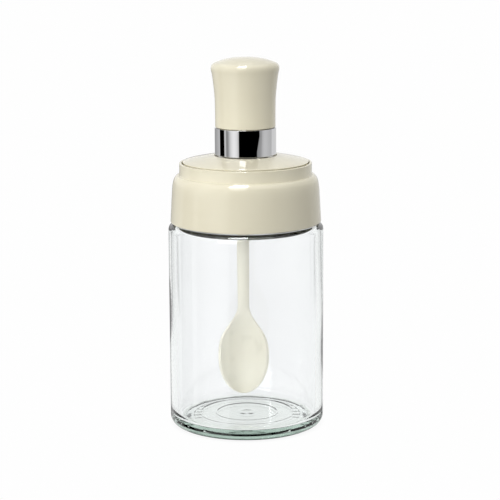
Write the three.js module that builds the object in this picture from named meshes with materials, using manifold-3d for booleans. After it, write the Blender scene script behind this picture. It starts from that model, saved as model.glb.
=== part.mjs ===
// A glass spice jar with a screw-on collar, and a lift-out lid that carries a knob and a spoon.
// Lengths are in millimetres and +Z is up. The origin is the middle of the face it stands on.
import * as THREE from 'three';
import { mergeVertices } from 'three/addons/utils/BufferGeometryUtils.js';
import Module from 'manifold-3d';

const manifold = await Module();
manifold.setup();

// Fits
const touchGap = 0.3;
const sunkDepth = 0.5;

// How finely round shapes are divided
const roundSteps = 40;
const gripSteps = 32;
const arcSteps = 2;
const quarterTurn = Math.PI / 2;
const fullTurn = 2 * Math.PI;

// Glass jar
const jarRadius = 35;
const jarWall = 3.2;
const jarShoulderHeight = 92.8;
const jarShoulderRounding = 3;
const jarHeelRounding = 2.6;
const jarInnerRounding = 4;
const jarFloorThickness = 4.6;
const jarFloorRounding = 2;
const floorStepHeight = 0.5;
const floorStepInset = 10.8;
const floorDishInset = 18.3;
const footWidth = 2;
const footHollow = 1.2;

// Neck of the jar and the thread on it
const neckInset = 6.1;
const neckWall = 2.9;
const neckRimRounding = 0.8;
const threadLead = 5;
const threadTurns = 1.1;
const threadStepsPerTurn = 36;
const threadDepth = 1.2;
const threadCrestWidth = 1.4;
const threadFlankRun = 0.6;
const threadPlay = 0.2;
const threadFootGap = 6.8;
const threadRimGap = 4.2;
const threadFadeShare = 0.08;
const threadLeastShare = 0.1;

// Gasket on the rim of the neck
const gasketThickness = 1.2;

// Threaded ring inside the collar
const insertWall = 1.2;
const insertWebThickness = 1.5;
const insertChamfer = 2;
const insertRecess = 1;
const insertThreadCrestWidth = 1;
const boreTubePlay = 0.6;
const boreTubeWall = 1.2;
const boreTubeDrop = 7.1;
const boreTubeRise = 3.2;

// Outer shell of the collar
const collarShoulderGap = 0.6;
const shellWall = 1.1;
const shellDraft = 1;
const shellCeiling = 1.8;
const shellShoulderDrop = 4.7;
const shellShelfWidth = 0.2;
const shellEdgeRounding = 0.5;
const ledgeWidth = 4.2;
const ledgeThickness = 1.5;
const ringWall = 1.1;
const ringFootWall = 1.6;
const ringHeight = 2.6;

// Lid plate
const discEdgeHeight = 2.7;
const discCrown = 2.8;
const discCrownFullnessShare = 0.68;
const discEdgeRounding = 0.4;
const discFootWidth = 2.4;
const discFootDrop = 1.9;
const discLandMargin = 0.15;

// Plug under the lid plate, with its soft ring
const plugPlay = 0.6;
const plugDepth = 13.1;
const plugSkirtWall = 2.4;
const plugLeadIn = 0.8;
const sealDrop = 4.4;
const sealHeight = 5;
const sealGrooveDepth = 1.2;
const sealFinDepth = 0.8;
const sealFinCount = 2;
const sealFinTipShare = 0.25;
const stemRadius = 5;
const stemWall = 1.6;
const stemReach = 3.9;
const socketWall = 1.6;
const socketLength = 21.9;

// Knob and the metal band below it
const knobWaistRadius = 13.5;
const knobHeight = 30.9;
const knobFlare = 1.8;
const knobFlareFootShare = 0.18;
const knobFlareKneeShare = 0.56;
const knobRimDrop = 5.2;
const knobRimRounding = 2.3;
const knobRimTurnShare = 0.64;
const knobRoofThickness = 2.2;
const knobSpigotWall = 1.8;
const knobBossWall = 1.6;
const bandHeight = 12.4;
const bandProud = 0.25;
const bandWall = 0.85;
const bandChamfer = 0.2;

// Spoon
const spoonPegRadius = 2.2;
const spoonPegSteps = 16;
const spoonFloorGap = 8.3;
const spoonBowlWidth = 23.5;
const spoonBowlDepth = 6.2;
const spoonBowlWall = 1.6;
const spoonTipLength = 17.4;
const spoonNeckLength = 26.2;
const spoonTipStartShare = 0.08;
const spoonTipSteps = 6;
const spoonNeckSteps = 9;
const spoonFlareReach = 3;
const spoonFlareTuck = 3.5;
const spoonHollowFade = 2;
const spoonHandleTopWidth = 5.7;
const spoonHandleNeckWidth = 5.2;
const spoonHandleThickness = 3.2;
const spoonEdgeShare = 0.6;
const spoonColumnShares = [-1, -0.86, -0.5, 0, 0.5, 0.86, 1];

// Radii that follow from the sizes above, from the glass inwards and outwards
const jarInnerRadius = jarRadius - jarWall;
const footOuterRadius = jarRadius - jarHeelRounding;
const footInnerRadius = footOuterRadius - footWidth;
const neckRadius = jarRadius - neckInset;
const mouthRadius = neckRadius - neckWall;
const threadRadius = neckRadius + threadDepth;
const insertRootRadius = threadRadius + touchGap;
const insertRadius = insertRootRadius + insertWall;
const shellInnerRadius = insertRadius + touchGap;
const shellRadius = shellInnerRadius + shellWall;
const boreTubeRadius = mouthRadius - boreTubePlay;
const boreRadius = boreTubeRadius - boreTubeWall;
const discRadius = boreRadius + ledgeWidth;
const discFootInnerRadius = discRadius - discFootWidth;
const recessRadius = discRadius + touchGap;
const ringRadius = recessRadius + ringWall;
const plugRadius = boreRadius - plugPlay;
const sealGrooveRadius = plugRadius - sealGrooveDepth;
const bandRadius = knobWaistRadius + bandProud;
const bandInnerRadius = bandRadius - bandWall;
const knobSpigotRadius = bandInnerRadius - touchGap;
const stemHoleRadius = stemRadius + touchGap;
const socketBoreRadius = spoonPegRadius + touchGap;

// Heights that follow, from the base upwards
const threadRise = threadLead * threadTurns;
const threadStartHeight = jarShoulderHeight + threadFootGap;
const neckRimHeight = threadStartHeight + threadRise + threadRimGap;
const gasketHeight = neckRimHeight + touchGap;
const insertWebHeight = gasketHeight + gasketThickness + touchGap;
const insertWebTop = insertWebHeight + insertWebThickness;
const boreTubeTop = insertWebTop + boreTubeRise;
const collarHeight = jarShoulderHeight + collarShoulderGap;
const shellCeilingHeight = insertWebTop + touchGap;
const shellShoulderTop = shellCeilingHeight + shellCeiling;
const ledgeHeight = boreTubeTop + touchGap;
const ledgeTop = ledgeHeight + ledgeThickness;
const discHeight = ledgeTop + touchGap;
const discTop = discHeight + discEdgeHeight + discCrown;
const bandBottom = discTop + touchGap;
const knobShoulder = bandBottom + bandHeight + touchGap;
const plugFlangeTop = discHeight + discFootDrop - touchGap;
const stemTop = knobShoulder + stemReach;
const socketEnd = discHeight - socketLength;
const spoonTipHeight = jarFloorThickness + spoonFloorGap;

// A material of one piece.
function finish(color, roughness, metalness) {
  return new THREE.MeshStandardMaterial({ color, roughness, metalness });
}

// A closed outline of radius and height, turned once round the vertical axis.
function revolve(outline, steps) {
  const geometry = new THREE.LatheGeometry(outline, steps);
  geometry.rotateX(quarterTurn);
  return geometry;
}

// Points along a path of radius and height, back to its start.
function closedOutline(path) {
  path.closePath();
  return path.getPoints(arcSteps);
}

// A closed skin over a row of rings that have as many points each, with a flat cap at both ends.
function skin(rings) {
  const count = rings[0].length;
  const lastRing = (rings.length - 1) * count;
  const faces = [];
  for (let ring = 0; ring < lastRing; ring += count) {
    for (let corner = 0; corner < count; corner += 1) {
      const here = ring + corner;
      const next = ring + ((corner + 1) % count);
      faces.push(here, next, next + count);
      faces.push(here, next + count, here + count);
    }
  }
  for (let corner = 1; corner + 1 < count; corner += 1) {
    faces.push(0, corner + 1, corner);
    faces.push(lastRing, lastRing + corner, lastRing + corner + 1);
  }
  const geometry = new THREE.BufferGeometry().setFromPoints(rings.flat());
  geometry.setIndex(faces);
  return geometry;
}

// A geometry as a solid that can be joined or cut.
function toSolid(geometry) {
  const bare = geometry.clone();
  bare.deleteAttribute('normal');
  bare.deleteAttribute('uv');
  const merged = mergeVertices(bare);
  const corners = Array.from(merged.index.array);
  const faces = [];
  for (let face = 0; face < corners.length; face += 3) {
    const [a, b, c] = corners.slice(face, face + 3);
    if (a !== b && b !== c && c !== a) {
      faces.push(a, b, c);
    }
  }
  const vertProperties = new Float32Array(merged.attributes.position.array);
  const triVerts = new Uint32Array(faces);
  return new manifold.Manifold(new manifold.Mesh({ numProp: 3, vertProperties, triVerts }));
}

// Two geometries joined into one closed body.
function join(first, second) {
  const mesh = toSolid(first).add(toSolid(second)).getMesh();
  const geometry = new THREE.BufferGeometry();
  geometry.setAttribute('position', new THREE.BufferAttribute(mesh.vertProperties, 3));
  geometry.setIndex(new THREE.BufferAttribute(mesh.triVerts, 1));
  geometry.computeVertexNormals();
  return geometry;
}

// A thread ridge that climbs round the axis. It stands on the wall at wallRadius, reaches
// crestRadius, and sinks into the wall at both ends.
function threadRidge(wallRadius, crestRadius, crestWidth, startHeight) {
  const outward = Math.sign(crestRadius - wallRadius);
  const sunkRadius = wallRadius - outward * sunkDepth;
  const crestHalf = crestWidth / 2;
  const rootHalf = crestHalf + threadFlankRun * (1 + sunkDepth / threadDepth);
  const steps = Math.round(threadTurns * threadStepsPerTurn);
  const rings = [];
  for (let step = 0; step <= steps; step += 1) {
    const share = step / steps;
    const fade = Math.min(1, threadLeastShare + Math.min(share, 1 - share) / threadFadeShare);
    const crest = THREE.MathUtils.lerp(sunkRadius, crestRadius, fade);
    const angle = share * threadTurns * fullTurn;
    const height = startHeight + share * threadRise;
    const section = [
      [sunkRadius, height - rootHalf],
      [sunkRadius, height + rootHalf],
      [crest, height + crestHalf],
      [crest, height - crestHalf],
    ];
    const ordered = outward > 0 ? section : section.reverse();
    rings.push(ordered.map(([radius, z]) => (
      new THREE.Vector3(radius * Math.cos(angle), radius * Math.sin(angle), z)
    )));
  }
  return skin(rings);
}

// The jar: a straight wall on a thick hollowed base, a rounded shoulder, and the threaded neck.
function glassJar() {
  const innerShoulderHeight = jarShoulderHeight - jarWall;
  const floorStepRadius = jarInnerRadius - floorStepInset;
  const floorDishRadius = jarInnerRadius - floorDishInset;
  const floorStepLevel = jarFloorThickness - floorStepHeight;
  const floorDishLevel = floorStepLevel - floorStepHeight;
  const path = new THREE.Path();
  path.moveTo(0, footHollow);
  path.absellipse(0, 0, footInnerRadius, footHollow, quarterTurn, 0, true);
  path.lineTo(footOuterRadius, 0);
  path.absarc(footOuterRadius, jarHeelRounding, jarHeelRounding, -quarterTurn, 0);
  const shoulderRadius = jarRadius - jarShoulderRounding;
  const shoulderStart = jarShoulderHeight - jarShoulderRounding;
  path.absarc(shoulderRadius, shoulderStart, jarShoulderRounding, 0, quarterTurn);
  path.lineTo(neckRadius, jarShoulderHeight);
  const rimStart = neckRimHeight - neckRimRounding;
  path.absarc(neckRadius - neckRimRounding, rimStart, neckRimRounding, 0, quarterTurn);
  path.absarc(mouthRadius + neckRimRounding, rimStart, neckRimRounding, quarterTurn, Math.PI);
  path.lineTo(mouthRadius, innerShoulderHeight);
  const innerStart = innerShoulderHeight - jarInnerRounding;
  path.absarc(jarInnerRadius - jarInnerRounding, innerStart, jarInnerRounding, quarterTurn, 0, true);
  const cornerRadius = jarInnerRadius - jarFloorRounding;
  const cornerHeight = jarFloorThickness + jarFloorRounding;
  path.absarc(cornerRadius, cornerHeight, jarFloorRounding, 0, -quarterTurn, true);
  path.lineTo(floorStepRadius + floorStepHeight, jarFloorThickness);
  path.lineTo(floorStepRadius, floorStepLevel);
  path.lineTo(floorDishRadius + floorStepHeight, floorStepLevel);
  path.lineTo(floorDishRadius, floorDishLevel);
  path.lineTo(0, floorDishLevel);
  const body = revolve(path.getPoints(arcSteps), roundSteps);
  const ridge = threadRidge(neckRadius, threadRadius, threadCrestWidth, threadStartHeight);
  return join(body, ridge);
}

// The flat sealing ring on the rim of the neck.
function neckGasket() {
  const path = new THREE.Path();
  path.moveTo(mouthRadius, 0);
  path.lineTo(neckRadius, 0);
  path.lineTo(neckRadius, gasketThickness);
  path.lineTo(mouthRadius, gasketThickness);
  return revolve(closedOutline(path), roundSteps);
}

// The ring that screws onto the neck: a threaded skirt, a web over the gasket, and the bore tube.
function collarInsert() {
  const path = new THREE.Path();
  path.moveTo(insertRootRadius, collarHeight + insertRecess);
  path.lineTo(insertRadius, collarHeight + insertRecess);
  path.lineTo(insertRadius, insertWebTop - insertChamfer);
  path.lineTo(insertRadius - insertChamfer, insertWebTop);
  path.lineTo(boreTubeRadius, insertWebTop);
  path.lineTo(boreTubeRadius, boreTubeTop);
  path.lineTo(boreRadius, boreTubeTop);
  path.lineTo(boreRadius, insertWebHeight - boreTubeDrop);
  path.lineTo(boreTubeRadius, insertWebHeight - boreTubeDrop);
  path.lineTo(boreTubeRadius, insertWebHeight);
  path.lineTo(insertRootRadius, insertWebHeight);
  const body = revolve(closedOutline(path), roundSteps);
  const crestRadius = insertRootRadius - threadDepth;
  const glassRootHalf = threadCrestWidth / 2 + threadFlankRun;
  const flankSpacing = glassRootHalf + insertThreadCrestWidth / 2 + threadPlay;
  const startHeight = threadStartHeight - flankSpacing;
  return join(body, threadRidge(insertRootRadius, crestRadius, insertThreadCrestWidth, startHeight));
}

// The gloss cover of the collar: skirt, rounded shoulder, and the ring round the lid plate.
function collarShell() {
  const footRadius = shellRadius + shellDraft;
  const ringTop = ledgeTop + ringHeight;
  const lipRounding = ringWall / 2;
  const shoulderSpan = shellRadius - ringRadius - shellShelfWidth;
  const shoulderStart = shellShoulderTop - shellShoulderDrop;
  const ringInnerRadius = ringRadius - ringFootWall;
  const path = new THREE.Path();
  path.moveTo(shellInnerRadius, shellCeilingHeight - insertChamfer);
  path.lineTo(shellInnerRadius, collarHeight);
  const edgeHeight = collarHeight + shellEdgeRounding;
  path.absarc(footRadius - shellEdgeRounding, edgeHeight, shellEdgeRounding, -quarterTurn, 0);
  const shoulderRadius = shellRadius - shoulderSpan;
  path.absellipse(shoulderRadius, shoulderStart, shoulderSpan, shellShoulderDrop, 0, quarterTurn);
  path.lineTo(ringRadius, shellShoulderTop);
  path.absarc(recessRadius + lipRounding, ringTop - lipRounding, lipRounding, 0, Math.PI);
  path.lineTo(recessRadius, ledgeTop);
  path.lineTo(boreRadius, ledgeTop);
  path.lineTo(boreRadius, ledgeHeight);
  path.lineTo(ringInnerRadius, ledgeHeight);
  path.lineTo(ringInnerRadius, shellCeilingHeight);
  path.lineTo(shellInnerRadius - insertChamfer, shellCeilingHeight);
  return revolve(closedOutline(path), roundSteps);
}

// The domed lid plate, with a foot ring that stands on the ledge and a hole for the stem.
function lidDisc() {
  const landRadius = bandRadius + discLandMargin;
  const edgeStart = discEdgeHeight - discEdgeRounding;
  const roundedRadius = discRadius - discEdgeRounding;
  const crownTop = discEdgeHeight + discCrown;
  const crownKnee = discEdgeHeight + discCrown * discCrownFullnessShare;
  const path = new THREE.Path();
  path.moveTo(stemHoleRadius, discFootDrop);
  path.lineTo(discFootInnerRadius, discFootDrop);
  path.lineTo(discFootInnerRadius, 0);
  path.lineTo(discRadius, 0);
  path.absarc(roundedRadius, edgeStart, discEdgeRounding, 0, quarterTurn);
  path.quadraticCurveTo((roundedRadius + landRadius) / 2, crownKnee, landRadius, crownTop);
  path.lineTo(stemHoleRadius, crownTop);
  return revolve(closedOutline(path), roundSteps);
}

// The cup that plugs the bore, with a hollow stem above it and the spoon's socket below.
function lidPlug() {
  const flangeRadius = discFootInnerRadius - touchGap;
  const grooveTop = discHeight - sealDrop + touchGap;
  const grooveBottom = discHeight - sealDrop - sealHeight - touchGap;
  const skirtInnerRadius = plugRadius - plugSkirtWall;
  const skirtEnd = discHeight - plugDepth;
  const socketRadius = socketBoreRadius + socketWall;
  const outline = [
    [0, discHeight],
    [socketBoreRadius, discHeight],
    [socketBoreRadius, socketEnd],
    [socketRadius, socketEnd],
    [socketRadius, discHeight],
    [skirtInnerRadius, discHeight],
    [skirtInnerRadius, skirtEnd],
    [plugRadius - plugLeadIn, skirtEnd],
    [plugRadius, skirtEnd + plugLeadIn],
    [plugRadius, grooveBottom],
    [sealGrooveRadius, grooveBottom],
    [sealGrooveRadius, grooveTop],
    [plugRadius, grooveTop],
    [plugRadius, discHeight],
    [flangeRadius, discHeight],
    [flangeRadius, plugFlangeTop],
    [stemRadius, plugFlangeTop],
    [stemRadius, stemTop],
    [stemRadius - stemWall, stemTop],
    [stemRadius - stemWall, plugFlangeTop],
    [0, plugFlangeTop],
  ];
  return revolve(outline.map(([radius, height]) => new THREE.Vector2(radius, height)), roundSteps);
}

// The soft ring in the groove of the plug, with fins that reach the bore.
function plugSeal() {
  const innerRadius = sealGrooveRadius + touchGap;
  const tipRadius = boreRadius - touchGap;
  const valleyRadius = tipRadius - sealFinDepth;
  const pitch = sealHeight / sealFinCount;
  const path = new THREE.Path();
  path.moveTo(innerRadius, 0);
  for (let fin = 0; fin < sealFinCount; fin += 1) {
    const foot = fin * pitch;
    path.lineTo(valleyRadius, foot);
    path.lineTo(tipRadius, foot + pitch * sealFinTipShare);
    path.lineTo(tipRadius, foot + pitch * (1 - sealFinTipShare));
  }
  path.lineTo(valleyRadius, sealHeight);
  path.lineTo(innerRadius, sealHeight);
  return revolve(closedOutline(path), roundSteps);
}

// The metal tube between lid plate and knob.
function chromeBand() {
  const path = new THREE.Path();
  path.moveTo(bandInnerRadius, 0);
  path.lineTo(bandRadius - bandChamfer, 0);
  path.lineTo(bandRadius, bandChamfer);
  path.lineTo(bandRadius, bandHeight - bandChamfer);
  path.lineTo(bandRadius - bandChamfer, bandHeight);
  path.lineTo(bandInnerRadius, bandHeight);
  return revolve(closedOutline(path), gripSteps);
}

// The hollow knob: waist, flare, rounded rim and domed roof outside, with the spigot that goes
// through the band, and a boss inside that takes the stem.
function knob() {
  const spigotEnd = bandBottom - knobShoulder;
  const rimHeight = knobHeight - knobRimDrop;
  const rimRadius = knobWaistRadius + knobFlare;
  const rimCentre = rimRadius - knobRimRounding;
  const rimTurn = quarterTurn * knobRimTurnShare;
  const domeEdgeRadius = rimCentre + knobRimRounding * Math.cos(rimTurn);
  const cavityRadius = knobSpigotRadius - knobSpigotWall;
  const cavityTop = rimHeight + knobRimRounding - knobRoofThickness;
  const bossRadius = stemHoleRadius + knobBossWall;
  const path = new THREE.Path();
  path.moveTo(0, cavityTop);
  path.lineTo(stemHoleRadius, cavityTop);
  path.lineTo(stemHoleRadius, spigotEnd);
  path.lineTo(bossRadius, spigotEnd);
  path.lineTo(bossRadius, cavityTop);
  path.lineTo(cavityRadius, cavityTop);
  path.lineTo(cavityRadius, spigotEnd);
  path.lineTo(knobSpigotRadius, spigotEnd);
  path.lineTo(knobSpigotRadius, 0);
  path.lineTo(knobWaistRadius, 0);
  path.lineTo(knobWaistRadius, rimHeight * knobFlareFootShare);
  const kneeHeight = rimHeight * (knobFlareFootShare + knobFlareKneeShare * (1 - knobFlareFootShare));
  path.quadraticCurveTo(knobWaistRadius, kneeHeight, rimRadius, rimHeight);
  path.absarc(rimCentre, rimHeight, knobRimRounding, 0, rimTurn);
  path.quadraticCurveTo(domeEdgeRadius / 2, knobHeight, 0, knobHeight);
  return revolve(path.getPoints(arcSteps * 2), gripSteps);
}

// One cross-section of the spoon: a strip that is hollow towards -Y and thinner at its edges.
function spoonRing(height, halfWidth, depth, thickness) {
  const front = [];
  const back = [];
  for (const share of spoonColumnShares) {
    const middle = depth * (1 - share * share);
    const half = thickness / 2 * (1 - (1 - spoonEdgeShare) * Math.abs(share));
    front.push(new THREE.Vector3(halfWidth * share, middle - half, height));
    back.unshift(new THREE.Vector3(halfWidth * share, middle + half, height));
  }
  return [...front, ...back];
}

// The spoon, hollow side to the front, with a round peg for the socket on top of its handle.
function spoon() {
  const widestHeight = spoonTipHeight + spoonTipLength;
  const handleTop = socketEnd - touchGap;
  const neckHalf = spoonHandleNeckWidth / 2;
  const swell = spoonBowlWidth / 2 - neckHalf;
  const rings = [];
  for (let step = 0; step < spoonTipSteps; step += 1) {
    const share = THREE.MathUtils.lerp(spoonTipStartShare, 1, step / spoonTipSteps);
    const height = widestHeight - spoonTipLength * Math.cos(quarterTurn * share);
    const reach = Math.sin(quarterTurn * share);
    const halfWidth = spoonBowlWidth / 2 * reach;
    rings.push(spoonRing(height, halfWidth, spoonBowlDepth * reach, spoonBowlWall));
  }
  for (let step = 0; step <= spoonNeckSteps; step += 1) {
    const share = step / spoonNeckSteps;
    const flare = (1 - share ** spoonFlareReach) ** spoonFlareTuck;
    const height = widestHeight + spoonNeckLength * share;
    const depth = spoonBowlDepth * (1 - share * share) ** spoonHollowFade;
    const thickness = THREE.MathUtils.lerp(spoonHandleThickness, spoonBowlWall, flare);
    rings.push(spoonRing(height, neckHalf + swell * flare, depth, thickness));
  }
  rings.push(spoonRing(handleTop, spoonHandleTopWidth / 2, 0, spoonHandleThickness));
  const pegBottom = handleTop - sunkDepth;
  const pegLength = discHeight - touchGap - pegBottom;
  const peg = new THREE.CylinderGeometry(spoonPegRadius, spoonPegRadius, pegLength, spoonPegSteps);
  peg.rotateX(quarterTurn);
  peg.translate(0, 0, pegBottom + pegLength / 2);
  return join(skin(rings), peg);
}

const jar = new THREE.Group();

// Adds a named piece at the height where its own zero lies.
function place(name, geometry, material, height) {
  const piece = new THREE.Mesh(geometry, material);
  piece.name = name;
  piece.position.z = height;
  jar.add(piece);
}

place('glass_jar', glassJar(), finish(0xe6efec, 0.03, 0), 0);
place('neck_gasket', neckGasket(), finish(0xf1f0ec, 0.7, 0), gasketHeight);
place('collar_insert', collarInsert(), finish(0xebe9e0, 0.5, 0), 0);
place('collar_shell', collarShell(), finish(0xdfd9c3, 0.18, 0), 0);
place('plug_seal', plugSeal(), finish(0xf4f4f0, 0.6, 0), discHeight - sealDrop - sealHeight);
place('lid_plug', lidPlug(), finish(0xebe9e0, 0.5, 0), 0);
place('lid_disc', lidDisc(), finish(0xe6e2d0, 0.16, 0), discHeight);
place('chrome_band', chromeBand(), finish(0xd9dadb, 0.06, 1), bandBottom);
place('knob', knob(), finish(0xdfd9c3, 0.16, 0), knobShoulder);
place('spoon', spoon(), finish(0xe9e7da, 0.35, 0), 0);

export default jar;
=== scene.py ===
import math

import bmesh
import bpy
from mathutils import Matrix, Vector


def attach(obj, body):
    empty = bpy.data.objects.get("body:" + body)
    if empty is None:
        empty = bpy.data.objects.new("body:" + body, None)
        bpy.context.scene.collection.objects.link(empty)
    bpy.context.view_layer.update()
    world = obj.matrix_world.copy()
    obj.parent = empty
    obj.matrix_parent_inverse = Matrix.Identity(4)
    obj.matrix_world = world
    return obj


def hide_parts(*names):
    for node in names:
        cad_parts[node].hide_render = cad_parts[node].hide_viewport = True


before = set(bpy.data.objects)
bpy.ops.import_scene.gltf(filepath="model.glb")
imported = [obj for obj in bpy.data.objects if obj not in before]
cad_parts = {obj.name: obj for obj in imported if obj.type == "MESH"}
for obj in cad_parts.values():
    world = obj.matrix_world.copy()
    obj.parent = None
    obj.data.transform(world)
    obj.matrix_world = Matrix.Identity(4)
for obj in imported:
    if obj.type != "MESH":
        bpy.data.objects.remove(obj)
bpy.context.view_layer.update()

# Sizes of the piece are in millimetres, those of the studio in metres. Angles are in degrees, and
# brightness is in shares of plain white.
MM = 0.001
FULL_TURN = 2 * math.pi
ON_AXIS = 1e-6
SAME_RADIUS = 0.01

# Fineness of the meshes
AROUND = 192
JAR_AROUND = 288
ARC_STEPS = 8
CURVE_STEPS = 6
SHARP_ANGLE = 38
PEG_AROUND = 48
KNOB_STEPS = 4

# Glass jar
JAR_RADIUS = 35
JAR_INNER = 31.8
JAR_SHOULDER = 92.8
SHOULDER_ROUNDING = 3
NECK_RADIUS = 28.9
MOUTH_RADIUS = 26.0
NECK_RIM = 109.3
JAR_FLOOR = 4.71
CORNER_WIDTH = 1.22
CORNER_HEIGHT = 3.24
CORNER_STEPS = 16
FLOOR_STEP_RADIUS = 21.4
FLOOR_DISH_RADIUS = 14
FLOOR_STEP = 0.1
FLOOR_RIDGE = 0.08
INNER_WALL_TOP = 89.4
NECK_START = 98.4
FOOT_INNER = 28.05
FOOT_HOLLOW = 1.88
HOLLOW_SLOPE = 3.77
HEEL_ROUNDING = 3.94
GLASS_STEP = 1.5
GLASS_WAVE = 0.08
# Waves of the inner wall: how many go round, the height in which they turn by one radian, strength
WAVES = [(2, 9, 1), (5, -14, 0.6)]
TICK_START = 21.8
TICK_END = 27.4
TICK_DEPTH = 0.17
TICK_SIDE_SHARE = 0.86
TICKS = 30

# Gasket on the neck
GASKET_BOTTOM = 109.6
GASKET_TOP = 110.8
GASKET_ROUNDING = 0.25

# Threads of neck and collar
THREAD_LEAD = 5
THREAD_TURNS = 1.1
THREAD_START = 99.6
THREAD_DEPTH = 1.2
THREAD_FLANK = 0.6
THREAD_FADE = 0.08
NECK_CREST_WIDTH = 1.4
INSERT_CREST_WIDTH = 1.0
FLANK_SPACING = 2.0
THREAD_STEP = 0.3
THREAD_MARGIN = 0.4

# Collar
COLLAR_FOOT = 93.4
INSERT_FOOT = 94.4
INSERT_ROOT = 30.4
INSERT_RADIUS = 31.6
WEB_BOTTOM = 111.1
WEB_TOP = 112.6
BORE_RADIUS = 24.2
TUBE_RADIUS = 25.4
TUBE_BOTTOM = 104.0
TUBE_TOP = 115.8
SHELL_INNER = 31.9
SHELL_CEILING = 112.9
RECESS_RADIUS = 28.75
RING_RADIUS = 29.8
LEDGE_BOTTOM = 116.1
LEDGE_TOP = 117.6
RING_TOP = 120.2

# Lid
DISC_RADIUS = 28.3
DISC_BOTTOM = 117.9
DISC_FOOT_INNER = 26.0
DISC_RECESS = 119.8
DISC_EDGE = 120.75
DISC_TOP = 123.5
DISC_SEAT = 122.6
BAND_BOTTOM = 123.9
BAND_TOP = 135.9
BAND_RADIUS = 13.75
BAND_INNER = 12.9
KNOB_SHOULDER = 136.32
KNOB_GROOVE = 11.5
KNOB_WAIST = 13.5
KNOB_HOLLOW = 10.8
KNOB_CEILING = 163.0
KNOB_TOP = 167.3
SPIGOT_RADIUS = 12.6
SPIGOT_BOTTOM = 124.2
STEM_HOLE = 5.3
STEM_RADIUS = 5.0
STEM_BORE = 3.4
STEM_TOP = 140.3
CAP_RADIUS = 25.7
CAP_TOP = 119.5
PLUG_RADIUS = 23.6
PLUG_INNER = 21.2
PLUG_BOTTOM = 104.8
GROOVE_RADIUS = 22.4
GROOVE_BOTTOM = 108.2
GROOVE_TOP = 113.8
SEAL_INNER = 22.7
SEAL_VALLEY = 23.1
SEAL_FIN = 23.9
SEAL_BOTTOM = 108.5
SEAL_TOP = 113.5
SOCKET_RADIUS = 2.5
SOCKET_WALL = 4.1
SOCKET_BOTTOM = 96.0

# Spoon. Its depths count from the middle plane to the back.
SPOON_TIP = 13.2
BOWL_MIDDLE = 30.3
HANDLE_START = 56.5
HANDLE_TOP = 95.7
BOWL_HALF_WIDTH = 11.75
HANDLE_HALF_WIDTH = 2.6
HANDLE_SPREAD = 0.25
BOWL_DEPTH = 6.2
BOWL_FACE = -0.45
BOWL_THICKNESS = 1.6
BOWL_BACK = 0.8
BOWL_LEAST_BACK = 0.5
BOWL_SQUARENESS = 0.8
HANDLE_FACE = -0.8
HANDLE_THICKNESS = 3.2
HANDLE_SQUARENESS = 0.35
HANDLE_BULGE = 1.0
RIM_WIDTH = 1.3
RIM_ROUNDING = 0.35
RIM_SHARE = 0.1
TIP_SHARE = 0.04
NECK_FLARE = 3.5
LEAST_HOLLOW = 0.01
SPOON_COLUMNS = 28
BOWL_STEPS = 22
NECK_STEPS = 30
HANDLE_STEPS = 16
PEG_BOTTOM = 95.2
PEG_TOP = 117.6
PEG_RADIUS = 2.2
# It hangs a little left of its peg, and the last stretch of its handle bends to the middle.
SPOON_SHIFT = -1.4
HANDLE_BEND = 13


def outline(points):
    """A fine outline through corners (radius, height, rounding), with each corner rounded."""
    fine = []
    for index, (radius, height, rounding) in enumerate(points):
        corner = Vector((radius, height))
        if rounding <= 0:
            fine.append(corner)
            continue
        before = (Vector(points[index - 1][:2]) - corner).normalized()
        after = (Vector(points[(index + 1) % len(points)][:2]) - corner).normalized()
        half = before.angle(after) / 2
        centre = corner + (before + after).normalized() * rounding / math.sin(half)
        reach = rounding / math.tan(half)
        start = corner + before * reach - centre
        end = corner + after * reach - centre
        for step in range(ARC_STEPS + 1):
            fine.append(centre + rounding * start.slerp(end, step / ARC_STEPS))
    return fine


def smooth_line(points, steps=CURVE_STEPS):
    """A smooth curve through all the points."""
    rows = [Vector(point) for point in points]
    rows = [2 * rows[0] - rows[1]] + rows + [2 * rows[-1] - rows[-2]]
    fine = []
    for index in range(1, len(rows) - 2):
        a, b, c, d = rows[index - 1:index + 3]
        for step in range(steps):
            t = step / steps
            fine.append(0.5 * (2 * b + (c - a) * t + (2 * a - 5 * b + 4 * c - d) * t ** 2
                               + (3 * b - a - 3 * c + d) * t ** 3))
    fine.append(rows[-2])
    return fine


def mixed(low, high, share):
    """A value between two."""
    return low + (high - low) * share


def divided(points, longest):
    """The same outline with no stretch longer than the given length."""
    fine = []
    for here, after in zip(points, points[1:]):
        count = max(1, math.ceil((after - here).length / longest))
        fine += [here.lerp(after, step / count) for step in range(count)]
    return fine + [points[-1]]


def piece(name, mesh_data, material, body, node):
    """A finished mesh that stands for a CAD node and rides on its body."""
    mesh = bpy.data.meshes.new(name)
    bmesh.ops.recalc_face_normals(mesh_data, faces=mesh_data.faces)
    mesh_data.to_mesh(mesh)
    mesh_data.free()
    mesh.shade_smooth()
    mesh.set_sharp_from_angle(angle=math.radians(SHARP_ANGLE))
    mesh.materials.append(material)
    result = bpy.data.objects.new(name, mesh)
    bpy.context.scene.collection.objects.link(result)
    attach(result, body)
    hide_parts(node)
    return result


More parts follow.
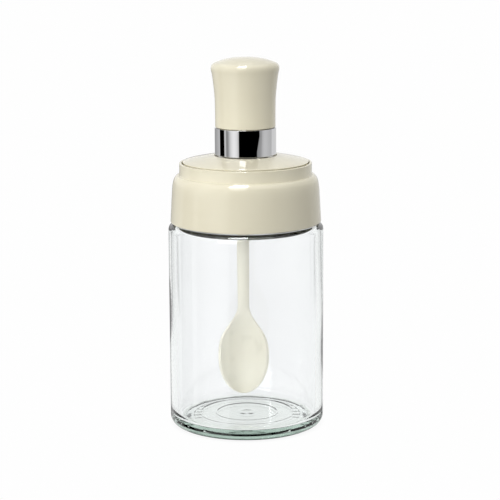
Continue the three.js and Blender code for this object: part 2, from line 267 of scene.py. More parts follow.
def lathe(points, closed, shape=None, around=AROUND):
    """A mesh turned round the Z axis. shape(radius, height, angle) gives both of them there."""
    mesh_data = bmesh.new()
    rings = []
    for radius, height in points:
        if radius < ON_AXIS:
            rings.append([mesh_data.verts.new((0, 0, height * MM))])
            continue
        ring = []
        for step in range(around):
            angle = FULL_TURN * step / around
            reach, rise = shape(radius, height, angle) if shape else (radius, height)
            ring.append(mesh_data.verts.new(
                (reach * MM * math.cos(angle), reach * MM * math.sin(angle), rise * MM)))
        rings.append(ring)
    pairs = list(zip(rings, rings[1:]))
    if closed:
        pairs.append((rings[-1], rings[0]))
    for low, high in pairs:
        for step in range(around):
            after = (step + 1) % around
            corners = [low[step % len(low)], low[after % len(low)],
                       high[after % len(high)], high[step % len(high)]]
            unique = list(dict.fromkeys(corners))
            if len(unique) > 2:
                mesh_data.faces.new(unique)
    return mesh_data


def thread_height(height, angle, start, crest_width):
    """How far the thread stands out at a height and angle, from 0 to 1."""
    most = 0
    for turn in (0, 1):
        share = (angle / FULL_TURN + turn) / THREAD_TURNS
        if share > 1:
            continue
        middle = start + share * THREAD_LEAD * THREAD_TURNS
        away = abs(height - middle) - crest_width / 2
        flank = min(1, max(0, 1 - away / THREAD_FLANK))
        fade = min(1, min(share, 1 - share) / THREAD_FADE)
        most = max(most, flank * fade)
    return most * most * (3 - 2 * most)


# Noise comes out mostly between these two values.
NOISE_LOW = 0.3
NOISE_HIGH = 0.7

# Sockets of a node that mixes colours
MIX_FACTOR = 0
MIX_DARK = 6
MIX_LIGHT = 7
MIX_RESULT = 2

# Depth of the fine skin in metres, and how much finer the noise of the gloss is than the clouds
SKIN_DEPTH = 0.0001
GLOSS_FINENESS = 3

# Clear glass: its two surface colours, its gloss, and what it takes from light on the way through
GLASS_DARK = (0.968, 0.963, 0.975)
GLASS_PALE = (0.981, 0.977, 0.988)
GLASS_IOR = 1.5
GLASS_ROUGHNESS = (0, 0.01)
GLASS_GREEN = (0.48, 0.63, 0.55, 1)
GLASS_DENSITY = 25


def node_material(name):
    """A new material with its shader and a helper that adds nodes to it."""
    material = bpy.data.materials.new(name)
    material.use_nodes = True
    tree = material.node_tree
    shader = tree.nodes["Principled BSDF"]

    def add(kind, **values):
        node = tree.nodes.new(kind)
        for key, value in values.items():
            if key in node.inputs:
                node.inputs[key].default_value = value
            else:
                setattr(node, key, value)
        return node

    return material, tree, shader, add


def noise(tree, add, scale, detail):
    """Noise in the piece's own space, with features of about 1 / scale metres."""
    place = add("ShaderNodeTexCoord")
    texture = add("ShaderNodeTexNoise", Scale=scale, Detail=detail)
    tree.links.new(place.outputs["Object"], texture.inputs["Vector"])
    return texture.outputs["Fac"]


def ranged(tree, add, source, low, high):
    """Noise spread over a range of values."""
    spread = add("ShaderNodeMapRange")
    spread.inputs["From Min"].default_value = NOISE_LOW
    spread.inputs["From Max"].default_value = NOISE_HIGH
    spread.inputs["To Min"].default_value = low
    spread.inputs["To Max"].default_value = high
    tree.links.new(source, spread.inputs["Value"])
    return spread.outputs["Result"]


def blended(tree, add, source, dark, light):
    """A colour between two, after a noise."""
    mix = add("ShaderNodeMix", data_type="RGBA")
    mix.inputs[MIX_DARK].default_value = (*dark, 1)
    mix.inputs[MIX_LIGHT].default_value = (*light, 1)
    tree.links.new(ranged(tree, add, source, 0, 1), mix.inputs[MIX_FACTOR])
    return mix.outputs[MIX_RESULT]


def surface(name, dark, light, roughness, cloud=45, grain=700, bump=0.02, metallic=0.0, ior=1.46):
    """Moulded plastic, rubber or metal: a cloudy colour, uneven gloss and a fine skin."""
    material, tree, shader, add = node_material(name)
    shader.inputs["Metallic"].default_value = metallic
    shader.inputs["IOR"].default_value = ior
    clouds = noise(tree, add, cloud, detail=3)
    tree.links.new(blended(tree, add, clouds, dark, light), shader.inputs["Base Color"])
    gloss = noise(tree, add, cloud * GLOSS_FINENESS, detail=4)
    tree.links.new(ranged(tree, add, gloss, *roughness), shader.inputs["Roughness"])
    skin = add("ShaderNodeBump", Strength=bump, Distance=SKIN_DEPTH)
    tree.links.new(noise(tree, add, grain, detail=2), skin.inputs["Height"])
    tree.links.new(skin.outputs["Normal"], shader.inputs["Normal"])
    return material


def clear_glass():
    """Clear pressed glass, slightly green where it is thick."""
    material, tree, shader, add = node_material("clear_glass")
    shader.inputs["Transmission Weight"].default_value = 1
    shader.inputs["IOR"].default_value = GLASS_IOR
    clouds = noise(tree, add, scale=60, detail=2)
    tree.links.new(blended(tree, add, clouds, GLASS_DARK, GLASS_PALE),
                   shader.inputs["Base Color"])
    gloss = noise(tree, add, scale=200, detail=3)
    tree.links.new(ranged(tree, add, gloss, *GLASS_ROUGHNESS), shader.inputs["Roughness"])
    inside = add("ShaderNodeVolumeAbsorption", Color=GLASS_GREEN, Density=GLASS_DENSITY)
    tree.links.new(inside.outputs["Volume"], tree.nodes["Material Output"].inputs["Volume"])
    return material


CREAM = surface("cream_gloss", (0.79, 0.74, 0.575), (0.815, 0.77, 0.605), (0.02, 0.05))
INNER = surface("inner_plastic", (0.76, 0.75, 0.68), (0.80, 0.79, 0.72), (0.35, 0.5), bump=0.2)
SEAL = surface("soft_seal", (0.84, 0.84, 0.82), (0.89, 0.89, 0.87), (0.5, 0.65), bump=0.3)
CHROME = surface("chrome", (0.70, 0.70, 0.71), (0.74, 0.74, 0.75), (0.015, 0.04),
                 bump=0.004, metallic=1.0)
SPOON = surface("spoon_plastic", (0.875, 0.845, 0.715), (0.915, 0.89, 0.77), (0.25, 0.35),
                bump=0.05)
GLASS = clear_glass()


def glass_jar():
    """The jar: thick hollowed base, straight wall, rounded shoulder, and neck with its thread."""
    outside = outline([
        (0, FOOT_HOLLOW, 0),
        (FOOT_INNER - HOLLOW_SLOPE, FOOT_HOLLOW, 1.6),
        (FOOT_INNER, 0, 0.23),
        (JAR_RADIUS, 0, HEEL_ROUNDING),
        (JAR_RADIUS, JAR_SHOULDER, SHOULDER_ROUNDING),
        (31.6, JAR_SHOULDER, 0),
    ])
    cove = smooth_line([(31.4, 92.83), (30.8, 93.1), (30.15, 93.9), (29.6, 95.2), (29.1, 96.8),
                        (NECK_RADIUS, 98.2)])
    lips = outline([(NECK_RADIUS, NECK_START, 0), (NECK_RADIUS, NECK_RIM, 0.9),
                    (MOUTH_RADIUS, NECK_RIM, 0.9), (MOUTH_RADIUS, 98.2, 0)])
    inner_shoulder = smooth_line([(26.15, 95.6), (26.35, 93.6), (26.8, 92.0), (27.6, 91.0),
                                  (28.6, 90.6), (30.0, 90.45), (31.2, 90.35), (31.65, 90.15),
                                  (JAR_INNER, INNER_WALL_TOP)])
    corner = []
    for step in range(CORNER_STEPS + 1):
        turn = math.pi / 2 * step / CORNER_STEPS
        corner.append(Vector((JAR_INNER - CORNER_WIDTH * (1 - math.cos(turn)),
                              JAR_FLOOR + CORNER_HEIGHT * (1 - math.sin(turn)))))
    inside = outline([
        (JAR_INNER - CORNER_WIDTH - 0.2, JAR_FLOOR, 0),
        (FLOOR_STEP_RADIUS + 0.6, JAR_FLOOR, 3),
        (FLOOR_STEP_RADIUS, JAR_FLOOR + FLOOR_RIDGE, 1.5),
        (FLOOR_STEP_RADIUS - 0.7, JAR_FLOOR - FLOOR_STEP, 3),
        (FLOOR_DISH_RADIUS + 0.6, JAR_FLOOR - FLOOR_STEP, 3),
        (FLOOR_DISH_RADIUS, JAR_FLOOR - FLOOR_STEP + FLOOR_RIDGE, 1.5),
        (FLOOR_DISH_RADIUS - 0.7, JAR_FLOOR - 1.7 * FLOOR_STEP, 3),
        (5, JAR_FLOOR - 2.2 * FLOOR_STEP, 10),
        (3.2, JAR_FLOOR - 1.2 * FLOOR_STEP, 4),
        (1.4, JAR_FLOOR - 2 * FLOOR_STEP, 3),
        (0, JAR_FLOOR - 1.6 * FLOOR_STEP, 0),
    ])
    points = [*outside, *cove, *lips, *inner_shoulder, *corner, *inside]
    fine = []
    for here, after in zip(points, points[1:]):
        on_neck = here.x > NECK_RADIUS - SAME_RADIUS and NECK_START <= here.y < after.y
        fine += divided([here, after], THREAD_STEP if on_neck else GLASS_STEP)[:-1]
    fine.append(points[-1])
    wall_span = INNER_WALL_TOP - JAR_FLOOR

    def shape(radius, height, angle):
        if abs(radius - NECK_RADIUS) < SAME_RADIUS and height > NECK_START:
            stands = thread_height(height, angle, THREAD_START, NECK_CREST_WIDTH)
            return radius + THREAD_DEPTH * stands, height
        if abs(radius - JAR_INNER) < SAME_RADIUS:
            fade = math.sin(math.pi * min(1, max(0, (height - JAR_FLOOR) / wall_span)))
            wave = sum(part * math.sin(count * angle + height / rise)
                       for count, rise, part in WAVES)
            return radius + GLASS_WAVE * fade * wave, height
        if height < JAR_FLOOR / 2 and TICK_START < radius < TICK_END:
            share = (radius - TICK_START) / (TICK_END - TICK_START)
            side = max(0, abs(math.cos(angle)) - TICK_SIDE_SHARE) / (1 - TICK_SIDE_SHARE)
            comb = max(0, math.cos(TICKS * angle))
            return radius, height + TICK_DEPTH * math.sin(math.pi * share) * side ** 0.5 * comb
        return radius, height

    return lathe(fine, False, shape, around=JAR_AROUND)


def neck_gasket():
    """The flat ring between the rim of the glass and the collar."""
    return lathe(outline([
        (MOUTH_RADIUS, GASKET_BOTTOM, GASKET_ROUNDING),
        (NECK_RADIUS, GASKET_BOTTOM, GASKET_ROUNDING),
        (NECK_RADIUS, GASKET_TOP, GASKET_ROUNDING),
        (MOUTH_RADIUS, GASKET_TOP, GASKET_ROUNDING),
    ]), True)


def collar_insert():
    """The threaded ring inside the collar, with its web and the tube that the lid plugs into."""
    points = outline([
        (INSERT_ROOT, INSERT_FOOT, 0.3),
        (INSERT_RADIUS, INSERT_FOOT, 0.3),
        (INSERT_RADIUS, WEB_TOP - 2, 0.6),
        (INSERT_RADIUS - 2, WEB_TOP, 0.6),
        (TUBE_RADIUS, WEB_TOP, 0.4),
        (TUBE_RADIUS, TUBE_TOP, 0.3),
        (BORE_RADIUS, TUBE_TOP, 0.5),
        (BORE_RADIUS, TUBE_BOTTOM, 0.5),
        (TUBE_RADIUS, TUBE_BOTTOM, 0.3),
        (TUBE_RADIUS, WEB_BOTTOM, 0.4),
        (INSERT_ROOT, WEB_BOTTOM, 0.3),
    ])
    points = divided(points + [points[0]], THREAD_STEP)[:-1]
    start = THREAD_START - FLANK_SPACING

    def shape(radius, height, angle):
        lowest, highest = INSERT_FOOT + THREAD_MARGIN, WEB_BOTTOM - THREAD_MARGIN
        if abs(radius - INSERT_ROOT) < SAME_RADIUS and lowest < height < highest:
            stands = thread_height(height, angle, start, INSERT_CREST_WIDTH)
            return radius - THREAD_DEPTH * stands, height
        return radius, height

    return lathe(points, True, shape)


def collar_shell():
    """The gloss cover of the collar: skirt, round shoulder, and the ring round the lid plate."""
    skirt = smooth_line([
        (33.97, 94.0), (33.8, 97.2), (33.62, 99.9), (33.48, 102.7), (33.3, 105.4), (33.14, 108.2),
        (32.98, 109.8), (32.72, 111.4), (32.3, 112.8), (31.6, 113.9), (30.9, 114.5), (30.3, 114.7),
    ])
    foot = outline([(SHELL_INNER, COLLAR_FOOT, 0.25), (34.0, COLLAR_FOOT, 0.5), (33.97, 94.3, 0),
                    (SHELL_INNER, 94.6, 0)])[:-2]
    inside = outline([
        (RING_RADIUS + 0.3, 114.75, 0),
        (RING_RADIUS, 115.4, 0),
        (RING_RADIUS, RING_TOP, 0.4),
        (RECESS_RADIUS, RING_TOP, 0.2),
        (RECESS_RADIUS, LEDGE_TOP, 0.2),
        (BORE_RADIUS, LEDGE_TOP, 0.3),
        (BORE_RADIUS, LEDGE_BOTTOM, 0.3),
        (RING_RADIUS - 1.6, LEDGE_BOTTOM, 0.2),
        (RING_RADIUS - 1.6, SHELL_CEILING, 0.2),
        (SHELL_INNER - 2, SHELL_CEILING, 0.4),
        (SHELL_INNER, SHELL_CEILING - 2, 0.4),
        (SHELL_INNER, COLLAR_FOOT + 1, 0),
    ])[:-1]
    points = [*foot, *skirt, *inside]
    return lathe(points, True)


def lid_disc():
    """The domed lid plate on its foot ring, with a hole for the stem."""
    land = BAND_RADIUS + 0.3
    crown = smooth_line([
        (DISC_RADIUS - 0.3, DISC_EDGE - 0.5), (DISC_RADIUS - 0.05, DISC_EDGE - 0.3),
        (DISC_RADIUS, DISC_EDGE - 0.15), (DISC_RADIUS - 0.15, DISC_EDGE),
        (DISC_RADIUS - 0.5, DISC_EDGE + 0.05), (26.9, 121.08), (25.2, 121.46), (23.4, 121.83),
        (20.2, 122.45), (17.0, 123.03), (land, DISC_TOP),
    ])
    points = [
        *outline([(STEM_HOLE, DISC_RECESS, 0.2), (DISC_FOOT_INNER, DISC_RECESS, 0.3),
                  (DISC_FOOT_INNER, DISC_BOTTOM, 0.3), (DISC_RADIUS - 0.3, DISC_BOTTOM, 0.3),
                  (DISC_RADIUS - 0.3, DISC_EDGE - 0.7, 0), (STEM_HOLE, DISC_TOP, 0)])[:-1],
        *crown,
        *outline([(land, DISC_TOP, 0), (land - 0.05, DISC_SEAT, 0.1), (STEM_HOLE, DISC_SEAT, 0.2),
                  (STEM_HOLE, DISC_RECESS, 0)])[1:-1],
    ]
    return lathe(points, True)


def lid_plug():
    """The cup that plugs the bore, with the stem above it and the socket for the spoon."""
    return lathe([
        Vector((0, DISC_BOTTOM)),
        *outline([
            (SOCKET_RADIUS, DISC_BOTTOM, 0), (SOCKET_RADIUS, SOCKET_BOTTOM, 0.2),
            (SOCKET_WALL, SOCKET_BOTTOM, 0.4), (SOCKET_WALL, DISC_BOTTOM, 0.8),
            (PLUG_INNER, DISC_BOTTOM, 1.2), (PLUG_INNER, PLUG_BOTTOM, 0.6),
            (PLUG_RADIUS, PLUG_BOTTOM, 0.9), (PLUG_RADIUS, GROOVE_BOTTOM, 0.2),
            (GROOVE_RADIUS, GROOVE_BOTTOM, 0.1), (GROOVE_RADIUS, GROOVE_TOP, 0.1),
            (PLUG_RADIUS, GROOVE_TOP, 0.2), (PLUG_RADIUS, DISC_BOTTOM, 0.2),
            (CAP_RADIUS, DISC_BOTTOM, 0.3), (CAP_RADIUS, CAP_TOP, 0.3),
            (STEM_RADIUS, CAP_TOP, 0.4), (STEM_RADIUS, STEM_TOP, 0.4),
            (STEM_BORE, STEM_TOP, 0.4), (STEM_BORE, CAP_TOP, 0.4), (0, CAP_TOP, 0),
        ]),
    ], False)


def plug_seal():
    """The soft ring round the plug, with two rounded fins."""
    return lathe(outline([
        (SEAL_INNER, SEAL_BOTTOM, 0.2), (SEAL_VALLEY, SEAL_BOTTOM, 0.15),
        (SEAL_FIN, 109.1, 0.3), (SEAL_FIN, 110.4, 0.3), (SEAL_VALLEY, 111.0, 0.3),
        (SEAL_FIN, 111.6, 0.3), (SEAL_FIN, 112.9, 0.3),
        (SEAL_VALLEY, SEAL_TOP, 0.15), (SEAL_INNER, SEAL_TOP, 0.2),
    ]), True)


def chrome_band():
    """The polished metal tube between lid plate and knob."""
    return lathe(outline([
        (BAND_INNER, BAND_BOTTOM, 0.1), (BAND_RADIUS, BAND_BOTTOM, 0.06),
        (BAND_RADIUS, BAND_TOP, 0.04), (BAND_INNER, BAND_TOP, 0.1),
    ]), True)


def knob():
    """The waisted hollow grip with its domed top and the spigot that goes through the band."""
    outer = smooth_line([
        (KNOB_WAIST, 136.9), (KNOB_WAIST, 139.0), (KNOB_WAIST, 141.5), (13.54, 144.3),
        (13.59, 147.9), (13.69, 149.7), (13.82, 151.4), (14.0, 153.2), (14.17, 155.0),
        (14.39, 156.8), (14.62, 158.6), (14.92, 160.3), (15.16, 161.3), (15.28, 162.2),
        (15.22, 163.0), (14.98, 163.7), (14.5, 164.3), (13.7, 164.85), (12.5, 165.3),
        (10.9, 165.85), (8.9, 166.4), (6.2, 166.9), (3.2, 167.2), (0, KNOB_TOP),
    ], KNOB_STEPS)
    inner = outline([
        (0, KNOB_CEILING, 0), (10.0, KNOB_CEILING, 1), (KNOB_HOLLOW, 160.0, 1),
        (KNOB_HOLLOW, SPIGOT_BOTTOM, 0.2), (SPIGOT_RADIUS, SPIGOT_BOTTOM, 0.2),
        (SPIGOT_RADIUS, BAND_TOP - 0.8, 0.2), (KNOB_GROOVE, BAND_TOP - 0.6, 0.1),
        (KNOB_GROOVE, KNOB_SHOULDER, 0.1), (KNOB_WAIST, KNOB_SHOULDER, 0.08),
        (KNOB_WAIST, 137.5, 0),
    ])[:-1]
    return lathe([*inner, *outer], False)


def spoon_section(height, half_width, depth, rim, face, back, squareness):
    """A ring of points round the spoon at a height: the hollow front first, then the back."""
    ring = []
    for step in range(SPOON_COLUMNS + 1):
        across = -math.cos(math.pi * step / SPOON_COLUMNS)
        x = half_width * across
        hollow = max(0, 1 - (abs(x) / max(half_width - rim, LEAST_HOLLOW)) ** 2)
        edge = RIM_ROUNDING * max(0, (abs(across) - 1 + RIM_SHARE) / RIM_SHARE) ** 2
        ring.append((x, face + edge + depth * hollow, height))
    for step in range(1, SPOON_COLUMNS):
        across = math.cos(math.pi * step / SPOON_COLUMNS)
        bulge = (1 - across * across) ** squareness
        ring.append((half_width * across, mixed(face + RIM_ROUNDING, back, bulge), height))
    return ring


def spoon():
    """The spoon, hollow side to the front, with the round peg that holds it in its socket."""
    sections = []
    for step in range(BOWL_STEPS):
        share = TIP_SHARE + (1 - TIP_SHARE) * step / BOWL_STEPS
        reach = math.sin(math.pi / 2 * share)
        height = BOWL_MIDDLE - (BOWL_MIDDLE - SPOON_TIP) * math.cos(math.pi / 2 * share)
        depth = BOWL_DEPTH * reach
        sections.append(spoon_section(
            height, BOWL_HALF_WIDTH * reach, max(0, depth - RIM_ROUNDING),
            RIM_WIDTH * reach ** 0.5, BOWL_FACE, max(BOWL_LEAST_BACK, depth + BOWL_BACK),
            BOWL_SQUARENESS))
    for step in range(NECK_STEPS + 1):
        share = step / NECK_STEPS
        flare = (1 - share ** 3) ** NECK_FLARE
        depth = BOWL_DEPTH * (1 - share * share) ** 2 - HANDLE_BULGE * (1 - flare)
        thick = mixed(HANDLE_THICKNESS, BOWL_THICKNESS, flare)
        sections.append(spoon_section(
            mixed(BOWL_MIDDLE, HANDLE_START, share),
            mixed(HANDLE_HALF_WIDTH, BOWL_HALF_WIDTH, flare),
            depth - RIM_ROUNDING * flare, RIM_WIDTH * flare,
            mixed(HANDLE_FACE, BOWL_FACE, flare), max(0, depth) + thick / 2,
            mixed(HANDLE_SQUARENESS, BOWL_SQUARENESS, flare)))
    for step in range(1, HANDLE_STEPS + 1):
        share = step / HANDLE_STEPS
        sections.append(spoon_section(
            mixed(HANDLE_START, HANDLE_TOP, share), HANDLE_HALF_WIDTH + HANDLE_SPREAD * share,
            -HANDLE_BULGE, 0.0, HANDLE_FACE, HANDLE_THICKNESS / 2, HANDLE_SQUARENESS))
    mesh_data = bmesh.new()
    rings = [[mesh_data.verts.new([value * MM for value in point]) for point in ring]
             for ring in sections]
    for low, high in zip(rings, rings[1:]):
        for step in range(len(low)):
            after = (step + 1) % len(low)
            mesh_data.faces.new((low[step], low[after], high[after], high[step]))
    mesh_data.faces.new(rings[0])
    mesh_data.faces.new(rings[-1])
    for vertex in mesh_data.verts:
        share = min(1, (HANDLE_TOP - vertex.co.z / MM) / HANDLE_BEND)
        vertex.co.x += SPOON_SHIFT * MM * share * share * (3 - 2 * share)
    peg_outline = outline([(PEG_RADIUS, PEG_BOTTOM, 0.2), (PEG_RADIUS, PEG_TOP, 0.5),
                           (0, PEG_TOP, 0)])
    peg = lathe([Vector((0, PEG_BOTTOM)), *peg_outline], False, around=PEG_AROUND)
    peg_mesh = bpy.data.meshes.new("peg")
    peg.to_mesh(peg_mesh)
    peg.free()
    mesh_data.from_mesh(peg_mesh)
    bpy.data.meshes.remove(peg_mesh)
    return mesh_data


piece("jar_glass", glass_jar(), GLASS, "jar", "glass_jar")
piece("rim_gasket", neck_gasket(), SEAL, "gasket", "neck_gasket")
piece("thread_ring", collar_insert(), INNER, "collar", "collar_insert")
piece("collar_cover", collar_shell(), CREAM, "collar", "collar_shell")
piece("lid_plate", lid_disc(), CREAM, "lid", "lid_disc")
piece("plug_cup", lid_plug(), INNER, "lid", "lid_plug")
piece("plug_ring", plug_seal(), SEAL, "seal", "plug_seal")
piece("metal_band", chrome_band(), CHROME, "lid", "chrome_band")
piece("grip_knob", knob(), CREAM, "lid", "knob")
piece("hanging_spoon", spoon(), SPOON, "lid", "spoon")


# Studio. The camera sees a white world and floor. Reflections and clear glass see their own
# surroundings, which are bright and dark by angle. Azimuths are from the camera, negative to its
# left.
WHITE = 0.992
AIM_HEIGHT = 0.09

# Degrees between the corners of the studio's round meshes
FLOOR_FACET = 5
SCREEN_FACET = 1
DOME_FACET = 3

# Brightness of the floor at a distance from the middle of the piece; the dimmer middle is painted
# shade where the jar stands
FLOOR_STOPS = [(0, 0.9), (0.031, 0.9), (0.036, 0.992), (3, 0.992)]

# Upright screens that reflections see, with stops of (azimuth, brightness)
SCREEN_RADIUS = 0.62
LEFT_BACK_STOPS = [
    (-180, 0.45), (-152, 0.4), (-149, 0.4), (-137, 0.47), (-128, 0.54), (-120, 0.58),
]
LEFT_STOPS = [
    (-113, 0.7), (-111, 0.7), (-110, 0.0), (-86, 0.0), (-85, 0.7), (-78, 0.7), (-76, 0.31),
    (-69, 0.34), (-65, 0.5), (-61, 0.69), (-57, 0.83), (-52, 0.97), (-48, 1.03), (-44, 1.08),
    (-40, 1.06), (-36, 1.01), (-32, 0.94), (-29, 0.8), (-25, 0.65), (-24, 0.0),
]
RIGHT_STOPS = [
    (45, 0.0), (46, 0.3), (50, 0.35), (60, 0.42), (65, 0.56), (69, 0.62), (74, 0.68), (84, 0.68),
    (94, 0.63), (106, 0.59), (114, 0.59), (116, 0.8),
]
WALL_SCREEN = [
    (-180, 0.9), (-162, 0.3), (-157, 0.4), (-152, 1.0), (-144, 1.0), (-137, 0.85), (-128, 0.7),
    *LEFT_STOPS, *RIGHT_STOPS, (146, 0.8), (150, 0.4), (156, 0.4), (160, 0.8), (180, 0.9),
]
LOW_SCREEN = [*LEFT_BACK_STOPS, *LEFT_STOPS, *RIGHT_STOPS, (147, 0.77), (180, 0.7)]
HIGH_SCREEN = [
    (-180, 1.0), (-113, 0.95), (-109, 0.4), (-86, 0.4), (-80, 1.0), (-60, 1.15), (-26, 1.1),
    (-24, 0.0), (45, 0.0), (48, 0.6), (100, 0.6), (120, 0.85), (180, 1.0),
]
# Rows of the screens, (height, stops, degrees that the middle of the lean moves)
SCREEN_ROWS = [
    (-0.55, WALL_SCREEN, -2), (-0.03, WALL_SCREEN, -2), (0, LOW_SCREEN, -2),
    (0.01, LOW_SCREEN, -2), (0.085, LOW_SCREEN, 8), (0.1, LOW_SCREEN, 8),
    (0.14, HIGH_SCREEN, 5), (0.75, HIGH_SCREEN, 5),
]
# The right border of the front dark screen leans over, within this reach on both sides.
LEAN_MIDDLE = 45
LEAN_REACH = 22
CEILING_GLOW = 1.5

# Overhead strip that makes the small bright patches, (angle above the horizon, brightness, left
# border, right border)
STRIP_RADIUS = 0.58
STRIP_ROWS = [
    (25, 3.9, -22.5, 0), (32.5, 3.8, -22.5, 0), (34, 1.2, -22.5, 0),
    (41, 1.2, -22.5, 0), (43, 6, -22, 0.5), (58, 7, -21, 1), (64, 14, -20, 2),
    (72, 22, -19, 2.5), (84, 20, -11, 2.5), (100, 20, -9, 2.5),
]

# What is seen through clear glass, by azimuth for level and downward rays
GLASS_DOME_RADIUS = 1.6
GLASS_LIGHT = 1.08
GLASS_SHARES = [
    (-180, 1.0), (-159, 0.98), (-156, 0.9), (-153, 0.35), (-150, 0.35), (-147, 0.88),
    (-141, 0.92), (-138, 0.97), (-135, 1.0), (135, 1.0), (138, 0.95), (141, 0.88), (147, 0.85),
    (150, 0.4), (153, 0.4), (156, 0.9), (159, 1.0), (180, 1.0),
]
GLASS_RINGS = (0.03, 0.06, 0.2, 0.32, 0.8, 1.6)
EVEN_RADIUS = 0.2

# The part of the floor under the jar, as clear glass sees it: a glowing disc, dimmer and tinted
# green, which is painted shade and painted green light under the base
UNDER_RADIUS = 0.03
UNDER_GLOW = 0.92
UNDER_TINT = (0.955, 1.0, 0.955)

# What lights the inside of the jar from the front and sides, above the floor
GLASS_FRONT_RISE = 4
GLASS_FRONT = [
    (-180, 1.0), (-120, 1.0), (-90, 1.7), (-60, 2.15), (-20, 2.1), (10, 1.0), (40, 0.5),
    (100, 0.5), (120, 1.0), (180, 1.0),
]
GLASS_RISES = (0, 4, 10, 20, 30, 38, 40, 60, 90)
DARK_RISE = 38
DARK_SHARE = 0.25

# Soft lights, (name, azimuth, elevation, distance, size, power in watts)
LIGHTS = [
    ("key_left", -28, 12, 0.56, 0.3, 1.65),
    ("fill_right", 30, 20, 0.56, 0.3, 0.32),
    ("top_soft", 60, 83, 0.7, 0.5, 2.25),
]


def between(stops, value):
    """The brightness at a value, on straight lines between the stops."""
    for (start, low), (end, high) in zip(stops, stops[1:]):
        if value <= end:
            return low + (high - low) * (value - start) / (end - start)
    return stops[-1][1]


def seen_by(obj, camera=False, diffuse=False, glossy=False, transmission=False):
    """Which kinds of rays see a stage object."""
    obj.visible_camera = camera
    obj.visible_diffuse = diffuse
    obj.visible_glossy = glossy
    obj.visible_transmission = transmission
    obj.visible_volume_scatter = False
    obj.visible_shadow = False


def stage_mesh(name, corners, faces, material, brightness=()):
    """A mesh of the studio, with a brightness at each corner where its material uses one."""
    mesh = bpy.data.meshes.new(name)
    mesh.from_pydata(corners, [], faces)
    mesh.materials.append(material)
    if brightness:
        levels = mesh.attributes.new("brightness", "FLOAT", "POINT")
        levels.data.foreach_set("value", brightness)
    result = bpy.data.objects.new(name, mesh)
    bpy.context.scene.collection.objects.link(result)
    return result


def grid_faces(columns, rows):
    """Faces of a grid of corners that are listed row by row."""
    return [(row * columns + column, row * columns + column + 1,
             (row + 1) * columns + column + 1, (row + 1) * columns + column)
            for row in range(rows - 1) for column in range(columns - 1)]


def glow(name, tint=(1, 1, 1)):
    """A material that shines as brightly as its mesh says."""
    material = bpy.data.materials.new(name)
    material.use_nodes = True
    tree = material.node_tree
    tree.nodes.remove(tree.nodes["Principled BSDF"])
    level = tree.nodes.new("ShaderNodeAttribute")
    level.attribute_name = "brightness"
    light = tree.nodes.new("ShaderNodeEmission")
    light.inputs["Color"].default_value = (*tint, 1)
    tree.links.new(level.outputs["Fac"], light.inputs["Strength"])
    tree.links.new(light.outputs["Emission"], tree.nodes["Material Output"].inputs["Surface"])
    return material


def azimuths_every(step):
    """Azimuths all round, from -180 to 180."""
    return range(-180, 181, step)


def around_point(azimuth, radius, height):
    """A point round the piece, at an azimuth in degrees."""
    turn = math.radians(azimuth)
    return (radius * math.sin(turn), -radius * math.cos(turn), height)


def floor(material):
    """The plain pale floor, glowing nearly white, with a trace of painted shade where the piece
    stands.
    """
    azimuths = azimuths_every(FLOOR_FACET)
    corners, brightness = [], []
    for radius, level in FLOOR_STOPS:
        corners += [around_point(azimuth, radius, 0) for azimuth in azimuths]
        brightness += [level] * len(azimuths)
    faces = grid_faces(len(azimuths), len(FLOOR_STOPS))
    seen_by(stage_mesh("floor", corners, faces, material, brightness), camera=True)


def screens(material):
    """Upright screens all round, for reflections and for soft light from the sides."""
    azimuths = azimuths_every(SCREEN_FACET)
    corners, brightness = [], []
    for height, stops, lean in SCREEN_ROWS:
        for azimuth in azimuths:
            near = max(0, 1 - abs(azimuth - LEAN_MIDDLE) / LEAN_REACH)
            corners.append(around_point(azimuth + lean * near, SCREEN_RADIUS, height))
            brightness.append(between(stops, azimuth))
    faces = grid_faces(len(azimuths), len(SCREEN_ROWS))
    seen_by(stage_mesh("screens", corners, faces, material, brightness), glossy=True, diffuse=True)


def ceiling(material):
    """The pale ceiling over the screens, for reflections."""
    azimuths = azimuths_every(FLOOR_FACET)
    height = SCREEN_ROWS[-1][0]
    corners = [around_point(azimuth, radius, height)
               for radius in (0, SCREEN_RADIUS) for azimuth in azimuths]
    faces = grid_faces(len(azimuths), 2)
    brightness = [CEILING_GLOW] * len(corners)
    seen_by(stage_mesh("ceiling", corners, faces, material, brightness), glossy=True)


def strip(material):
    """The overhead strip, which bends over the piece."""
    corners, brightness = [], []
    for rise, level, *borders in STRIP_ROWS:
        tilt = math.radians(rise)
        for azimuth in borders:
            x = STRIP_RADIUS * math.sin(math.radians(azimuth))
            corners.append((x, -STRIP_RADIUS * math.cos(tilt),
                            AIM_HEIGHT + STRIP_RADIUS * math.sin(tilt)))
            brightness.append(level)
    faces = grid_faces(2, len(STRIP_ROWS))
    seen_by(stage_mesh("strip", corners, faces, material, brightness), glossy=True)


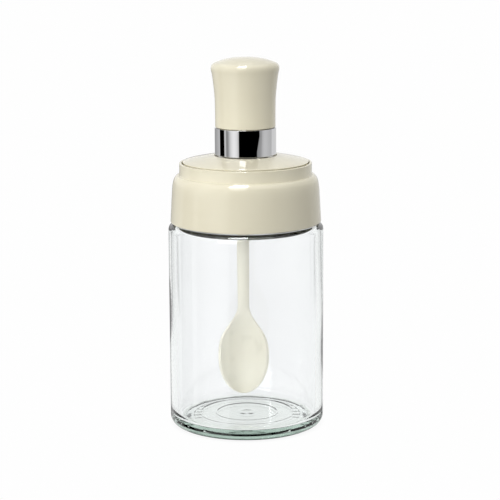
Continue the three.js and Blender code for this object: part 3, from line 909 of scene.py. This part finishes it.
def glass_surroundings(material):
    """Floor and dome that are seen through clear glass."""
    azimuths = azimuths_every(DOME_FACET)
    corners, brightness = [], []
    for radius in GLASS_RINGS:
        for azimuth in azimuths:
            corners.append(around_point(azimuth, radius, 0))
            share = 1 if radius <= EVEN_RADIUS else between(GLASS_SHARES, azimuth)
            brightness.append(GLASS_LIGHT * share)
    for rise in GLASS_RISES:
        tilt = math.radians(rise)
        for azimuth in azimuths:
            corners.append(around_point(azimuth, GLASS_DOME_RADIUS * math.cos(tilt),
                                        GLASS_DOME_RADIUS * math.sin(tilt)))
            share = between(GLASS_SHARES, azimuth)
            if rise > GLASS_FRONT_RISE:
                share = between(GLASS_FRONT, azimuth)
            if rise > DARK_RISE:
                share = DARK_SHARE
            brightness.append(GLASS_LIGHT * share)
    faces = grid_faces(len(azimuths), len(GLASS_RINGS) + len(GLASS_RISES))
    dome = stage_mesh("glass_surroundings", corners, faces, material, brightness)
    seen_by(dome, transmission=True)
    # The disc under the jar glows dimmer and green: painted shade and painted green light under
    # the base
    corners = [around_point(azimuth, radius, 0)
               for radius in (0, UNDER_RADIUS) for azimuth in azimuths]
    under = stage_mesh("under_glass", corners, grid_faces(len(azimuths), 2),
                       glow("under_glow", UNDER_TINT), [UNDER_GLOW] * len(corners))
    seen_by(under, transmission=True)


def area_light(name, azimuth, elevation, distance, size, power):
    """A soft square light that points at the middle of the piece and makes no highlights."""
    light = bpy.data.lights.new(name, "AREA")
    light.shape = "SQUARE"
    light.size = size
    light.energy = power
    result = bpy.data.objects.new(name, light)
    aim = Vector((0, 0, AIM_HEIGHT))
    rise = math.radians(elevation)
    result.location = aim + Vector(around_point(azimuth, distance * math.cos(rise),
                                                distance * math.sin(rise)))
    result.rotation_euler = (result.location - aim).to_track_quat("Z", "Y").to_euler()
    bpy.context.scene.collection.objects.link(result)
    result.visible_camera = False
    result.visible_glossy = False
    return result


def studio():
    """World, floor, screens and lights."""
    world = bpy.data.worlds.new("white_world")
    bpy.context.scene.world = world
    world.use_nodes = True
    world.node_tree.nodes["Background"].inputs["Color"].default_value = (1, 1, 1, 1)
    world.node_tree.nodes["Background"].inputs["Strength"].default_value = WHITE
    world.cycles_visibility.diffuse = False
    world.cycles_visibility.glossy = False
    world.cycles_visibility.transmission = False
    world.cycles_visibility.scatter = False
    material = glow("studio_glow")
    floor(material)
    screens(material)
    ceiling(material)
    strip(material)
    glass_surroundings(material)
    for settings in LIGHTS:
        area_light(*settings)


# Camera, fitted to the photograph. Its distance and height are in metres, its lens in millimetres.
CAMERA_DISTANCE = 0.798
CAMERA_HEIGHT = 0.2368
CAMERA_PITCH = 11.12
CAMERA_YAW = -0.128
CAMERA_ROLL = -0.29
CAMERA_LENS = 129.24
CAMERA_SENSOR = 36


def camera():
    """The camera at the photograph's distance, height and angle."""
    data = bpy.data.cameras.new("camera")
    data.lens = CAMERA_LENS
    data.sensor_width = CAMERA_SENSOR
    result = bpy.data.objects.new("camera", data)
    turn = Matrix.Rotation(math.radians(CAMERA_YAW), 4, "Z")
    tilt = Matrix.Rotation(math.radians(90 - CAMERA_PITCH), 4, "X")
    roll = Matrix.Rotation(math.radians(CAMERA_ROLL), 4, "Z")
    result.matrix_world = (Matrix.Translation((0, -CAMERA_DISTANCE, CAMERA_HEIGHT))
                           @ turn @ tilt @ roll)
    bpy.context.scene.collection.objects.link(result)
    bpy.context.scene.camera = result


studio()
camera()
bpy.context.scene.view_settings.view_transform = "Standard"
